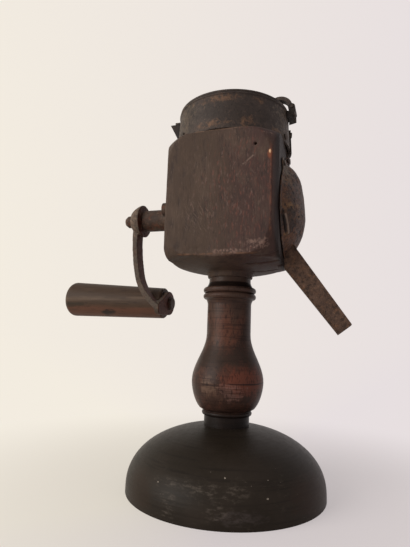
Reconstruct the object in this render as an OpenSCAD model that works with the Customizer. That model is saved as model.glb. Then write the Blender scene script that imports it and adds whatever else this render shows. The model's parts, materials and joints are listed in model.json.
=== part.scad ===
// Hand-cranked spice mill: turned wooden foot and stem, square wooden head, wrought-iron works.
// Millimetres, +Z up, the origin is the middle of the foot on the table.
// The crank shaft runs along X: the crank is on the -X side, the cover and spout on the +X side.

/* [Foot] */
// Radius of the foot on the table
foot_r = 52; // [42:1:70]
// Height of the foot's crown
foot_h = 33; // [26:1:45]
// Height of the straight wall at the foot's edge
foot_wall = 3; // [1:0.5:6]
// Fullness of the crown, where 2 is an ellipse
foot_power = 2.2; // [1.8:0.1:2.8]

/* [Stem] */
// Height of the stem from the foot to the block
stem_h = 79.4; // [70:0.2:110]
// Radius where the stem stands on the foot
stem_seat_r = 12.2; // [11:0.1:15]
// Radius of the ring over the stem's seat
ring_r = 13.5; // [12.8:0.1:16]
// Height of that ring above the foot
ring_h = 6.6; // [5:0.2:8]
// Half height of that ring
ring_half = 1.3; // [0.8:0.1:2]
// Largest radius of the bulb
bulb_r = 19.6; // [16:0.2:26]
// Height of the bulb's widest place above the foot
bulb_h = 23; // [18:0.5:30]
// Fullness of the bulb's lower side
bulb_power = 1.7; // [1.3:0.1:2.2]
// Length over which the bulb runs out into the neck
bulb_fall = 25.5; // [20:0.5:28]
// Radius of the neck
neck_r = 12.2; // [10.5:0.1:14]
// Outer radius of the two beads under the block
bead_out = 14.8; // [13:0.1:18]
// Radius of each bead's section
bead_r = 1.7; // [1.2:0.1:2]
// Distance of the lower bead below the stem's top
bead_low = 10.2; // [9:0.1:13]
// Distance of the upper bead below the stem's top
bead_high = 6.8; // [5:0.1:7]
// Radius of the hollow under the block
cavetto_r = 11.7; // [10.5:0.1:12.5]
// Radius of the tenons at both ends of the stem
tenon_r = 9; // [6:0.5:10]
// Length of each tenon
tenon_len = 13; // [8:0.5:15]
// Clearance of the tenons and of the iron pieces let into the wood
seat_gap = 0.05; // [0.02:0.01:0.1]

/* [Block] */
// Width of the block along the shaft
block_w = 62; // [58:1:80]
// Depth of the block across the shaft
block_d = 64.4; // [60:0.2:80]
// Height of the block from the stem to the hopper's seat
block_h = 75.2; // [72:0.2:100]
// Width of the upright chamfers on the front and back faces
block_chamfer = 2.8; // [1:0.1:5]
// Width of the upright chamfers on the side faces
side_chamfer = 6.9; // [2:0.1:7]
// Height of the round neck under the block
block_neck = 3.3; // [1:0.1:6]
// Radius of that neck
collar_r = 12.8; // [11:0.1:12.9]
// Rise of the turned underside from its flat to the corners
cushion_rise = 4.2; // [3:0.1:8]
// Fullness of the underside, where 1 is a straight cone
cushion_power = 2; // [1:0.1:2.4]
// Radius of the flat in the middle of the underside
cushion_flat = 13; // [13:0.5:18]
// Fullness of the turned corners in their upper half, where 2 is an ellipse
barrel_power = 3; // [2:0.1:4]
// Fullness of the turned corners in their lower half
barrel_low_power = 2.7; // [2:0.1:4]
// How far the turning stands past the chamfered edges at half height
barrel_play = 0.4; // [0:0.1:2]
// Width of the flat outside the hopper's lower edge
shoulder_land = 0.2; // [0.1:0.1:1]
// Distance of the old nail hole in the front face from the middle
old_hole_x = 19.7; // [5:0.1:22]
// Height of the old nail hole above the shaft
old_hole_up = 28.4; // [20:0.1:30]
// Radius of the hopper's seat on the spigot, taken up to the rim
spigot_r = 30.9; // [27:0.1:30.9]
// Height of the spigot
spigot_h = 7; // [5:0.5:12]
// Height of the shaft's axis above the stem's top
shaft_up = 36.7; // [35:0.1:40]
// Radius of the funnel's mouth
funnel_r = 26; // [18:0.5:28]
// Radius of the throat over the works
throat_r = 10.5; // [8:0.5:12]
// Height of the throat's mouth above the shaft
throat_up = 20; // [17:0.5:26]

/* [Hopper and lid] */
// Height of the sheet-iron hopper
hopper_h = 21; // [18:0.5:40]
// How much wider the hopper is at its lower edge
hopper_flare = 0.9; // [0:0.1:2]
// Thickness of the hopper's sheet
hopper_t = 1.1; // [0.8:0.1:2]
// Radius of the rolled rim's section
rim_r = 0.8; // [0.6:0.1:1.2]
// Clearance of the hopper on its spigot
hopper_gap = 0.1; // [0.05:0.05:0.3]
// Height of the hopper's nails above its lower edge
nail_up = 3.2; // [2.5:0.1:4]
// Number of nails around the hopper
nail_count = 3; // [3:1:4]
// Turn of the ring of nails, in degrees
nail_turn = 45; // [30:1:60]
// Thickness of the lid
lid_t = 1; // [0.8:0.1:2]
// Clearance between the lid and the rim
lid_gap = 0.1; // [0.05:0.05:0.4]
// Length of the lid's thumb tab
tab_len = 4; // [3:0.5:6]
// Width of the lid's thumb tab
tab_w = 9; // [6:0.5:12]
// Height of the hinge's axis above the rim
hinge_up = 1.7; // [1.5:0.1:2.5]
// Radius of the hinge's knuckles
knuckle_r = 2; // [1.8:0.1:2.9]
// Radius of the hinge's pin
pin_r = 0.9; // [0.7:0.1:1.2]
// Width of the lid's knuckle
knuckle_w = 4.4; // [3:0.2:6]
// Width of the hinge's leaf
leaf_w = 11; // [10:0.5:14]
// Clearance of the hinge's pin in the lid's knuckle
pin_gap = 0.05; // [0.02:0.01:0.1]
// Side clearance between the knuckles
side_gap = 0.3; // [0.2:0.05:0.5]
// Radius of the arched strap on the lid, to its middle line
arch_r = 6.4; // [6:0.2:8]
// Height of the arched strap's straight legs
arch_leg = 2.6; // [1:0.1:4]
// Distance of its outer leg inside the hinge's axis
arch_in = 0.8; // [0:0.1:1]
// Thickness of the arched strap
arch_t = 2.2; // [1.4:0.1:2.6]
// Height of the hinge's leaf under the rim
leaf_low = 3.9; // [3.6:0.1:6]
// Reach of the catch from the hopper
catch_reach = 6.6; // [3:0.2:7]
// Height of the catch
catch_h = 10.2; // [6:0.2:11]
// Thickness of the catch at its lower end
catch_toe = 1.2; // [0.3:0.1:2]
// Width of the catch
catch_w = 9; // [6:0.5:12]
// Width of the strap between the hopper and the block
strap_w = 6; // [5:0.5:7]
// Thickness of that strap
strap_t = 1; // [0.8:0.1:1.5]
// Distance of that strap behind the hinge
strap_y = 8; // [7:0.5:8]
// Height of that strap on the hopper
strap_rise = 15; // [11.5:0.5:16]
// Length of that strap on the block
strap_fall = 9; // [8:0.5:12]

/* [Works] */
// Radius of the shaft
shaft_r = 6.5; // [4:0.05:6.8]
// Running clearance of the shaft in its bearings
run_gap = 0.05; // [0.02:0.01:0.1]
// Radius of the shaft's journal on the cover's side
journal_r = 3.5; // [2.5:0.1:3.8]
// Side of the square tang that carries the crank
tang_side = 5; // [4:0.1:5.4]
// Radius of the left bearing plate's middle
plate_r = 11; // [9:0.5:14]
// Thickness of the left bearing plate
plate_t = 3; // [1.5:0.1:3.5]
// Radius of that plate's four lobes
plate_lobe_r = 3.8; // [3:0.1:4.5]
// Distance of the lobes' middles from the shaft
plate_reach = 20.4; // [18:0.1:21]
// Outer radius of the fixed burr ring
burr_out = 19; // [17:0.5:19.5]
// Length of the fixed burr ring
burr_len = 18; // [12:0.5:20]
// Inner radius of the burr ring at its feed end
burr_in = 11.5; // [10.5:0.1:12]
// Inner radius of the burr ring at its delivery end
burr_exit = 15.2; // [14:0.1:16]
// Grinding gap between the cone and the ring
grind_gap = 0.6; // [0.4:0.1:1]
// Length of the cone ahead of the ring
cone_lead = 9; // [6:0.5:10]
// Number of teeth on the cone
cone_teeth = 10; // [6:1:14]
// Number of teeth in the ring
ring_teeth = 18; // [10:1:20]
// Skew of the cone's teeth, in degrees
tooth_skew = 8; // [0:1:10]
// Depth of the teeth
tooth_depth = 1.6; // [0.8:0.1:1.8]
// Thickness of the bearing bridge
bridge_t = 3; // [2.5:0.1:4]
// Width of the bearing bridge
bridge_w = 11; // [9:0.5:14]

/* [Cover and spout] */
// Radius of the cover's round part
cover_r = 25.5; // [24:0.5:26]
// Drop of the cover's round part below the shaft
cover_drop = 1.5; // [1:0.5:2.5]
// Bulge of the cover from the block's face
cover_bulge = 11.2; // [8:0.2:15]
// Radius of the cover's upper swell
swell_r = 17; // [15:0.5:17.5]
// Height of the upper swell above the shaft
swell_up = 12; // [10:0.5:12]
// Bulge of the upper swell
swell_bulge = 9.6; // [6:0.2:11]
// Width of the flat rim round the dished part
cover_rim = 1; // [0.6:0.1:1.5]
// Thickness of the cover's sheet
cover_t = 1.2; // [0.8:0.1:2]
// Height of the finial's tip above the shaft
finial_up = 34; // [32:0.5:36]
// Half width of the finial's leaf
finial_half = 3.4; // [3:0.1:4.5]
// Distance of the finial's nail below its tip
finial_nail = 2.8; // [2.5:0.1:3]
// Distance of the side lobes from the cover's middle
lobe_out = 15.5; // [15:0.5:17]
// Height of the side lobes above the shaft
lobe_up = 23.5; // [23:0.5:25]
// Radius of the side lobes
lobe_r = 3.4; // [2.8:0.1:4]
// Length of the spout from its root on the block's face
spout_len = 47.8; // [30:0.2:60]
// Slope of the spout below the level, in degrees
spout_slope = 52; // [45:1:60]
// Width of the spout
spout_w = 14; // [10:0.5:18]
// Height of the spout's walls at its root
spout_high = 11.6; // [8:0.1:14]
// Height of the spout's walls at its tip
spout_low = 8.8; // [5:0.1:10]
// Thickness of the spout's sheet
spout_t = 1.1; // [0.8:0.1:2]
// Radius of the spout's lower corners
spout_round = 3; // [2.5:0.5:4]
// Height of the spout's root below the shaft
spout_drop = 27; // [26:0.5:28]
// Depth of the spout's floor under its root
spout_sink = 2.9; // [2:0.1:4]

/* [Crank] */
// Distance from the block to the crank's hub
crank_reach = 23.5; // [21:0.5:40]
// Length of the hub
hub_len = 8.9; // [7:0.1:12]
// Radius of the hub
hub_r = 10; // [7.5:0.1:11]
// Fullness of the hub's taper, where 1 is a straight cone
hub_power = 1.5; // [1.2:0.1:2]
// Radius of the hub's outer end
hub_end_r = 4.4; // [4:0.1:6]
// Length of the shaft's riveted end
head_len = 4.2; // [2:0.1:6]
// Thickness of the arm's strap
arm_t = 3.4; // [2:0.1:4]
// Width of the arm's strap
arm_w = 8.2; // [5:0.1:9]
// Distance of the arm's strap inside the hub's outer end
arm_inset = 2.1; // [1:0.1:3]
// Straight length of the arm under the hub
arm_straight = 8.5; // [8:0.5:20]
// Radius of the arm's upper bend
bend_high_r = 113; // [90:1:150]
// Turn of the upper bend, in degrees
bend_high_turn = 13; // [10:0.5:15]
// Radius of the arm's lower bend
bend_low_r = 29; // [26:1:32]
// Turn of the lower bend, in degrees
bend_low_turn = 34; // [30:1:36]
// Length of the arm's straight end
arm_end = 7; // [6:0.5:11]
// Thickness of the eye that carries the grip
eye_t = 3; // [2:0.1:4]
// Radius of the eye
eye_r = 7.4; // [6.5:0.1:8.4]
// Distance of the grip's axis behind the arm
grip_back = 14; // [13.5:0.1:18]
// Rise of the grip's axis above the arm's lower end
grip_rise = 3.8; // [3:0.1:9]
// Length of the grip
grip_len = 67.4; // [50:0.2:100]
// Radius of the grip at the eye
grip_r = 9.4; // [8.5:0.1:10]
// Radius of the grip at its far end
grip_end_r = 11.1; // [9.5:0.1:13]
// Rounding of the grip's far end
grip_round = 4; // [2:0.5:4.5]
// Clearance between the grip and the eye
grip_gap = 0.5; // [0.3:0.1:0.8]
// Radius of the grip's spindle
spindle_r = 2.8; // [2:0.1:3.2]
// Width of the washer's ring round the spindle
washer_ring = 2; // [1.5:0.1:2.5]
// Thickness of the washer
washer_t = 1; // [0.6:0.1:1.4]
// Depth of the washer's seat in the grip's far end
washer_sink = 3; // [2.6:0.1:4]
// Thickness of the spindle's riveted head at the eye
spindle_head = 1.4; // [1:0.1:2]
// Tilt of the grip's axis, rising towards its far end, in degrees
grip_tilt = 2; // [0:0.5:3]

/* [Fastenings] */
// Radius of the nails' and rivets' shanks
shank_r = 0.8; // [0.6:0.1:1]
// Radius of their heads
nail_head_r = 1.6; // [1.2:0.1:2]
// Height of their heads
nail_head_t = 0.7; // [0.5:0.1:1]
// Length of the nails in the wood
nail_len = 7; // [4:0.5:8]
// Clearance under the heads and beside let-in pieces
head_gap = 0.1; // [0.05:0.05:0.2]
// How far a rivet goes through the sheet that it holds
rivet_past = 2; // [1:0.5:3]

/* [Hidden] */
$fn = 64;

wood = [0.24, 0.17, 0.13];
red_wood = [0.36, 0.17, 0.10];
iron = [0.22, 0.19, 0.17];
rust = [0.33, 0.23, 0.16];
bright_iron = [0.45, 0.42, 0.38];
cut = 0.01;
past = 1;
curve_steps = 12;
cap_steps = 7;

// The stack from the table up
seat_turn = acos(pow(stem_seat_r / foot_r, foot_power / 2));
foot_top = foot_wall + (foot_h - foot_wall) * pow(sin(seat_turn), 2 / foot_power);
block_z = foot_top + stem_h;
flat_z = block_z + block_neck;
block_top = block_z + block_h;
spigot_top = block_top + spigot_h;
shaft_z = block_z + shaft_up;
throat_z = shaft_z + throat_up;
rim_z = block_top + hopper_h;
face_x = block_w / 2;

// The block's turned corners
edge_w = face_x - block_chamfer;
edge_d = block_d / 2 - side_chamfer;
barrel_r = norm([edge_w, block_d / 2]) + barrel_play;
low_z = flat_z + cushion_rise;

// The hopper, its lid and hinge
hopper_in = spigot_r + hopper_gap;
hopper_out = hopper_in + hopper_t;
hopper_low_r = hopper_out + hopper_flare;
shoulder_r = hopper_low_r + shoulder_land;
rim_out = hopper_out + rim_r / 2;
fitting_r = rim_out + head_gap;
lid_z = rim_z + lid_gap;
hinge_x = fitting_r + knuckle_r + head_gap;
hinge_z = rim_z + hinge_up;
leaf_t = knuckle_r * 1.6;
rivet_side = leaf_w * 0.3;
leaf_top = hinge_z - knuckle_r - side_gap;
leaf_z = rim_z - leaf_low;
catch_top = lid_z - side_gap;
catch_seat = max(fitting_r, hopper_at(catch_top - catch_h) + hopper_t + head_gap);
rivet_in = catch_reach * 0.4;
rivet_drop = catch_h * 0.4;
strap_in = hopper_low_r + head_gap;
strap_x = sqrt(pow(strap_in, 2) - pow(strap_y + strap_w / 2, 2));
strap_turn = asin(strap_y / strap_in);
strap_nail_z = block_top + strap_rise - strap_w / 2;

// The works inside the block
ring_x = face_x - bridge_t;
feed_x = ring_x - burr_len;
burr_slope = (burr_exit - burr_in) / burr_len;
cone_x = feed_x - cone_lead;
cone_end = ring_x - grind_gap;
feed_room = 3;
feed_r = burr_in + feed_room / 2;
feed_left = cone_x - feed_room;

// The crank, in the frame of its own hub
hub_x = -face_x - crank_reach;
arm_x = hub_x - hub_len + arm_t / 2 + arm_inset;
bend_high = [arm_x + bend_high_r, -arm_straight];
mid_turn = bend_high_turn;
low_turn = bend_high_turn + bend_low_turn;
mid_point = bend_high + bend_high_r * [-cos(mid_turn), -sin(mid_turn)];
bend_low = mid_point + bend_low_r * [cos(mid_turn), sin(mid_turn)];
low_point = bend_low + bend_low_r * [-cos(low_turn), -sin(low_turn)];
tip_point = low_point + arm_end * [sin(low_turn), -cos(low_turn)];
eye_x = tip_point[0];
eye_z = tip_point[1] + grip_rise;
grip_near = eye_t / 2 + grip_gap;
grip_far = grip_near + grip_len;
washer_r = spindle_r + washer_ring;

function arc_points(middle, r, from, to, steps) =
    [for (i = [0:steps])
        let (turn = from + (to - from) * i / steps)
        middle + r * [cos(turn), sin(turn)]];
function crown_point(turn) = [foot_r * pow(cos(turn), 2 / foot_power),
    foot_wall + (foot_h - foot_wall) * pow(sin(turn), 2 / foot_power)];
function hopper_at(z) = hopper_in + hopper_flare * (rim_z - z) / hopper_h;
function cone_r(x) = burr_in - grind_gap + burr_slope * (x - feed_x);

// A solid turned about the shaft's axis from an outline of [radius, x]
module turned_on_shaft() {
    translate([0, 0, shaft_z])
        rotate([0, 90, 0])
            rotate_extrude()
                children();
}

// A plate cut from an outline of [y, z], from x = 0 towards +X
module plate_across(thickness) {
    rotate([90, 0, 90])
        linear_extrude(thickness)
            children();
}

// A bar cut from an outline of [x, z], with its middle on y = 0
module bar_along(width) {
    rotate([90, 0, 0])
        linear_extrude(width, center = true)
            children();
}

// One nail along +X, with its head's underside at x = 0 and its shank towards -X
module nail(length) {
    rotate([0, 90, 0]) {
        cylinder(r = nail_head_r, h = nail_head_t);
        translate([0, 0, -length])
            cylinder(r = shank_r, h = length + cut);
    }
}

// The hole for such a nail
module nail_hole(length) {
    rotate([0, 90, 0])
        translate([0, 0, -length - seat_gap])
            cylinder(r = shank_r + seat_gap, h = length + seat_gap + past);
}

// The turned foot
module foot() {
    color(wood)
        difference() {
            rotate_extrude($fn = 96)
                polygon(concat([[0, 0], [foot_r, 0]],
                    [for (i = [0:2 * curve_steps]) crown_point(seat_turn * i / (2 * curve_steps))],
                    [[0, foot_top]]));
            translate([0, 0, foot_top - tenon_len - seat_gap])
                cylinder(r = tenon_r + seat_gap, h = tenon_len + past);
        }
}

// The stem's outline from its seat to the block
module stem_outline() {
    ring_turn = 60;
    bulb_start = ring_h + ring_half;
    bulb_base = ring_r - ring_half / 2;
    neck_start = bulb_h + bulb_fall;
    bead_core = bead_out - bead_r;
    flare = 3;
    hollow = bead_high - bead_r;
    hollow_end = hollow * 0.65;
    polygon(concat(
        [[0, 0], [stem_seat_r, 0], [stem_seat_r, ring_h - ring_half]],
        arc_points([ring_r - ring_half, ring_h], ring_half, -ring_turn, ring_turn, curve_steps),
        [for (i = [0:curve_steps])
            let (t = 1 - i / curve_steps)
            [bulb_base + (bulb_r - bulb_base) * pow(1 - pow(t, bulb_power), 1 / bulb_power),
                bulb_start + (bulb_h - bulb_start) * (1 - t)]],
        [for (i = [1:curve_steps])
            [neck_r + (bulb_r - neck_r) * (1 + cos(180 * i / curve_steps)) / 2,
                bulb_h + (neck_start - bulb_h) * i / curve_steps]],
        [for (i = [0:curve_steps / 2])
            [neck_r + (bead_core - neck_r) * (1 - cos(180 * i / curve_steps)),
                stem_h - bead_low - bead_r - flare * (1 - 2 * i / curve_steps)]],
        [[bead_core, stem_h - bead_high + bead_r]],
        [for (i = [1:curve_steps])
            [bead_core + (cavetto_r - bead_core) * sin(90 * i / curve_steps),
                stem_h - hollow + hollow_end * i / curve_steps]],
        [[cavetto_r, stem_h], [0, stem_h]]));
    for (drop = [bead_low, bead_high])
        translate([bead_out - bead_r, stem_h - drop])
            circle(r = bead_r);
}

// The turned stem with its two tenons
module stem() {
    color(red_wood)
        translate([0, 0, foot_top]) {
            rotate_extrude($fn = 96)
                stem_outline();
            translate([0, 0, -tenon_len])
                cylinder(r = tenon_r, h = 2 * tenon_len + stem_h);
        }
}

// The block's square plan with its chamfered corners
module block_plan() {
    half_d = block_d / 2;
    polygon([[face_x, -edge_d], [face_x, edge_d], [edge_w, half_d], [-edge_w, half_d],
        [-face_x, edge_d], [-face_x, -edge_d], [-edge_w, -half_d], [edge_w, -half_d]]);
}

// The turned outline of the block's underside and corners, from the flat to the shoulder
function block_curve(steps) = concat(
    [for (i = [0:steps])
        let (t = i / steps)
        [cushion_flat + (shoulder_r - cushion_flat) * t, flat_z + cushion_rise * pow(t, cushion_power)]],
    [for (i = [1:2 * steps])
        let (t = -cos(90 * i / steps), power = t < 0 ? barrel_low_power : barrel_power)
        [shoulder_r + (barrel_r - shoulder_r) * pow(1 - pow(abs(t), power), 1 / power),
            (low_z + block_top) / 2 + (block_top - low_z) / 2 * t]]);

// The block before anything is bored: squared wood whose ends were turned round
module block_form() {
    intersection() {
        linear_extrude(rim_z)
            block_plan();
        rotate_extrude($fn = 96)
            polygon(concat([[0, flat_z]], block_curve(curve_steps),
                [[hopper_at(block_top) - hopper_gap, block_top],
                    [hopper_at(spigot_top) - hopper_gap, spigot_top], [0, spigot_top]]));
    }
    translate([0, 0, block_z])
        cylinder(r = collar_r, h = 2 * block_neck);
}

// The square wooden head with its funnel, throat and bored works
module block() {
    color(wood)
        difference() {
            block_form();
            translate([0, 0, block_z - past])
                cylinder(r = tenon_r + seat_gap, h = tenon_len + seat_gap + past);
            rotate_extrude()
                polygon([[0, throat_z], [throat_r, throat_z], [funnel_r, spigot_top],
                    [funnel_r, spigot_top + past], [0, spigot_top + past]]);
            translate([0, 0, shaft_z])
                cylinder(r = throat_r, h = throat_up + past);
            turned_on_shaft()
                polygon([[0, feed_left], [feed_r, feed_left], [feed_r, feed_x - seat_gap],
                    [burr_out + seat_gap, feed_x - seat_gap], [burr_out + seat_gap, face_x + past],
                    [0, face_x + past]]);
            turned_on_shaft()
                polygon([[0, -face_x - past], [shaft_r + grind_gap, -face_x - past],
                    [shaft_r + grind_gap, feed_left + past], [0, feed_left + past]]);
            hopper_nail_places()
                nail_hole(nail_len);
            strap_nail_places(0)
                nail_hole(nail_len);
            bearing_nail_places()
                nail_hole(nail_len);
            cover_nail_places()
                nail_hole(nail_len);
            translate([old_hole_x, -block_d / 2, shaft_z + old_hole_up])
                rotate([0, 0, -90])
                    nail_hole(nail_len);
        }
}

// Places of the nails that hold the hopper to its spigot
module hopper_nail_places() {
    for (i = [0:nail_count - 1])
        rotate([0, 0, 360 * (i + 0.5) / nail_count + nail_turn])
            translate([hopper_at(block_top + nail_up) + hopper_t + head_gap, 0, block_top + nail_up])
                children();
}

// The sheet-iron hopper with its rolled rim
module hopper() {
    color(iron)
        difference() {
            rotate_extrude($fn = 96) {
                polygon([[hopper_at(block_top), block_top], [hopper_low_r, block_top],
                    [hopper_out, rim_z - rim_r], [hopper_in, rim_z - rim_r]]);
                translate([rim_out - rim_r, rim_z - rim_r])
                    circle(r = rim_r);
            }
            hopper_nail_places()
                nail_hole(nail_len);
            hinge_rivet_places()
                nail_hole(nail_len);
            catch_rivet_place()
                nail_hole(nail_len);
            strap_nail_places(1)
                nail_hole(nail_len);
        }
}

// The nails around the hopper
module hopper_nails() {
    color(bright_iron)
        hopper_nail_places()
            nail(nail_len);
}

// Places of the strap's nails, 0 in the block and 1 in the hopper
module strap_nail_places(upper) {
    if (upper == 0)
        translate([face_x + strap_t, strap_y, block_top - strap_fall / 2])
            children();
    else
        rotate([0, 0, strap_turn])
            translate([hopper_at(strap_nail_z) + hopper_t + strap_t + 2 * head_gap, 0, strap_nail_z])
                children();
}

// The strap's outline over the block's top, as seen along X
module strap_tongue(length) {
    translate([-strap_w / 2, 0])
        square([strap_w, length - strap_w / 2]);
    translate([0, length - strap_w / 2])
        circle(d = strap_w);
}

// A cone round the hopper, standing off by a distance and carried straight down to a height, as [radius, z]
module hopper_cone(off, low) {
    polygon(concat([[0, low], [hopper_low_r + off, low]],
        low < block_top ? [[hopper_low_r + off, block_top]] : [],
        [[hopper_out + off, rim_z], [0, rim_z]]));
}

// The lobed strap that ties the hopper to the block
module hopper_strap() {
    step_up = face_x < strap_x ? 0 : strap_t;
    step_z = block_top + step_up - strap_t;
    step_x = min(face_x, strap_x);
    color(iron)
        difference() {
            union() {
                intersection() {
                    rotate_extrude($fn = 96)
                        hopper_cone(head_gap + strap_t, step_z);
                    union() {
                        translate([0, strap_y, block_top])
                            plate_across(2 * hopper_low_r)
                                strap_tongue(strap_rise);
                        translate([step_x, strap_y - strap_w / 2, step_z])
                            cube([hopper_low_r, strap_w, 2 * strap_t]);
                    }
                }
                translate([face_x, strap_y, block_top + step_up])
                    plate_across(strap_t)
                        mirror([0, 1])
                            strap_tongue(strap_fall + step_up);
                translate([step_x, strap_y - strap_w / 2, step_z])
                    cube([face_x - step_x + strap_t, strap_w, strap_t]);
            }
            rotate_extrude($fn = 96)
                hopper_cone(head_gap, block_top);
            strap_nail_places(0)
                nail_hole(nail_len);
            strap_nail_places(1)
                nail_hole(nail_len);
        }
}

// The strap's nails
module strap_nails() {
    color(bright_iron) {
        strap_nail_places(0)
            nail(nail_len);
        strap_nail_places(1)
            nail(strap_t + hopper_t + rivet_past);
    }
}

// Places of the two rivets of the hinge's leaf
module hinge_rivet_places() {
    for (side = [-1, 1])
        translate([fitting_r + leaf_t, side * rivet_side, (leaf_z + leaf_top) / 2])
            children();
}

// The hinge's leaf on the hopper, with its two knuckles
module hinge_leaf() {
    lip = 0.9;
    color(iron)
        difference() {
            union() {
                bar_along(leaf_w)
                    polygon([[fitting_r - lip, leaf_z], [fitting_r + leaf_t, leaf_z + lip],
                        [fitting_r + leaf_t, leaf_top], [fitting_r - lip, leaf_top]]);
                for (side = [-1, 1])
                    translate([0, side * (leaf_w + knuckle_w + 2 * side_gap) / 4, 0])
                        bar_along((leaf_w - knuckle_w) / 2 - side_gap) {
                            translate([hinge_x, hinge_z])
                                circle(r = knuckle_r);
                            translate([hinge_x - knuckle_r / 2, leaf_top - lip])
                                square([leaf_t * 0.6, hinge_z - leaf_top + lip]);
                        }
            }
            translate([0, 0, leaf_z - past])
                cylinder(r = fitting_r, h = rim_z + past, $fn = 96);
            translate([hinge_x, 0, hinge_z])
                rotate([90, 0, 0])
                    cylinder(r = pin_r + seat_gap, h = 2 * leaf_w, center = true);
            hinge_rivet_places()
                nail_hole(nail_len);
        }
}

// The rivets of the hinge's leaf
module hinge_rivets() {
    color(bright_iron)
        hinge_rivet_places()
            nail(leaf_t + hopper_t + rivet_past);
}

// The hinge's pin
module hinge_pin() {
    color(bright_iron)
        translate([hinge_x, 0, hinge_z])
            rotate([90, 0, 0])
                cylinder(r = pin_r, h = leaf_w + past, center = true);
}

// The lid with its thumb tab, arched strap and knuckle
module lid() {
    color(iron)
        difference() {
            union() {
                translate([0, 0, lid_z])
                    cylinder(r = hopper_out, h = lid_t, $fn = 96);
                translate([-hopper_out - tab_len, -tab_w / 2, lid_z])
                    cube([2 * tab_len, tab_w, lid_t]);
                translate([hinge_x - arch_in - arch_r, 0, lid_z + lid_t / 2])
                    bar_along(knuckle_w)
                        difference() {
                            union() {
                                translate([0, arch_leg])
                                    circle(r = arch_r + arch_t / 2);
                                translate([-arch_r - arch_t / 2, 0])
                                    square([2 * arch_r + arch_t, arch_leg]);
                            }
                            translate([0, arch_leg])
                                circle(r = arch_r - arch_t / 2);
                            translate([-arch_r + arch_t / 2, -2 * arch_r])
                                square([2 * arch_r - arch_t, 2 * arch_r + arch_leg]);
                            translate([-2 * arch_r, -4 * arch_r])
                                square([4 * arch_r, 4 * arch_r]);
                        }
                translate([hinge_x, 0, hinge_z])
                    rotate([90, 0, 0])
                        cylinder(r = knuckle_r, h = knuckle_w, center = true);
            }
            translate([hinge_x, 0, hinge_z])
                rotate([90, 0, 0])
                    cylinder(r = pin_r + pin_gap, h = 2 * leaf_w, center = true);
        }
}

// Place of the catch's rivet
module catch_rivet_place() {
    rotate([0, 0, 180])
        translate([catch_seat + rivet_in, 0, catch_top - rivet_drop])
            children();
}

// The wedge-shaped catch under the lid's tab
module lid_catch() {
    color(iron)
        difference() {
            bar_along(catch_w)
                polygon([[-catch_seat - catch_reach, catch_top], [-catch_seat + past, catch_top],
                    [-catch_seat + past, catch_top - catch_h],
                    [-catch_seat - catch_toe, catch_top - catch_h]]);
            cylinder(r = catch_seat, h = 2 * rim_z, $fn = 96);
            catch_rivet_place()
                nail_hole(nail_len);
            catch_rivet_place()
                rotate([0, 90, 0])
                    cylinder(r = nail_head_r + head_gap, h = 2 * catch_reach);
        }
}

// The catch's rivet, its head let into the wedge
module catch_rivet() {
    color(bright_iron)
        catch_rivet_place()
            nail(rivet_in + hopper_t + rivet_past);
}

// Places of the nails in the bearing plate's lobes
module bearing_nail_places() {
    for (turn = [0:90:270])
        translate([-face_x - plate_t, plate_reach * cos(turn), shaft_z + plate_reach * sin(turn)])
            rotate([0, 0, 180])
                children();
}

// The lobed iron plate that the shaft runs in beside the crank
module bearing_plate() {
    color(iron)
        difference() {
            translate([-face_x - plate_t, 0, shaft_z])
                plate_across(plate_t) {
                    circle(r = plate_r);
                    for (turn = [0:90:270])
                        rotate(turn) {
                            translate([plate_reach, 0])
                                circle(r = plate_lobe_r);
                            polygon([[0, -plate_lobe_r * 1.5], [plate_reach, -plate_lobe_r * 0.6],
                                [plate_reach, plate_lobe_r * 0.6], [0, plate_lobe_r * 1.5]]);
                        }
                }
            turned_on_shaft()
                translate([0, -face_x - 2 * plate_t])
                    square([shaft_r + run_gap, 3 * plate_t]);
            bearing_nail_places()
                nail_hole(nail_len);
        }
}

// The bearing plate's nails
module bearing_nails() {
    color(bright_iron)
        bearing_nail_places()
            nail(nail_len);
}

// A V-shaped groove along the cone's slope, its bottom at the given depth
module groove(r_start, x_start, length, depth, skew) {
    half = depth * 0.9;
    translate([x_start, 0, 0])
        rotate([0, -atan(burr_slope), 0])
            translate([0, 0, r_start])
                rotate([0, 0, skew])
                    rotate([90, 0, 90])
                        linear_extrude(length)
                            polygon([[0, -depth], [half, depth], [-half, depth]]);
}

// The fixed burr ring, toothed inside
module burr_ring() {
    color(iron)
        difference() {
            turned_on_shaft()
                polygon([[burr_in, feed_x], [burr_out, feed_x], [burr_out, ring_x], [burr_exit, ring_x]]);
            translate([0, 0, shaft_z])
                for (i = [0:ring_teeth - 1])
                    rotate([360 * (i + 0.5) / ring_teeth, 0, 0])
                        mirror([0, 0, 1])
                            groove(-burr_in - tooth_depth / 4, feed_x - past, burr_len + 3 * past,
                                tooth_depth / 2, 0);
            bridge_screw_places()
                nail_hole(nail_len);
        }
}

// The toothed cone on the shaft
module grinding_cone() {
    color(iron)
        difference() {
            turned_on_shaft()
                polygon([[shaft_r + seat_gap, cone_x], [cone_r(cone_x), cone_x], [cone_r(cone_end), cone_end],
                    [shaft_r + seat_gap, cone_end]]);
            translate([0, 0, shaft_z])
                for (i = [0:cone_teeth - 1])
                    rotate([360 * i / cone_teeth, 0, 0])
                        groove(cone_r(cone_x), cone_x - past, cone_end - cone_x + 4 * past, tooth_depth,
                            tooth_skew);
        }
}

// Places of the two screws of the bearing bridge
module bridge_screw_places() {
    for (side = [-1, 1])
        translate([face_x, side * (burr_out + burr_exit) / 2, shaft_z])
            children();
}

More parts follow.
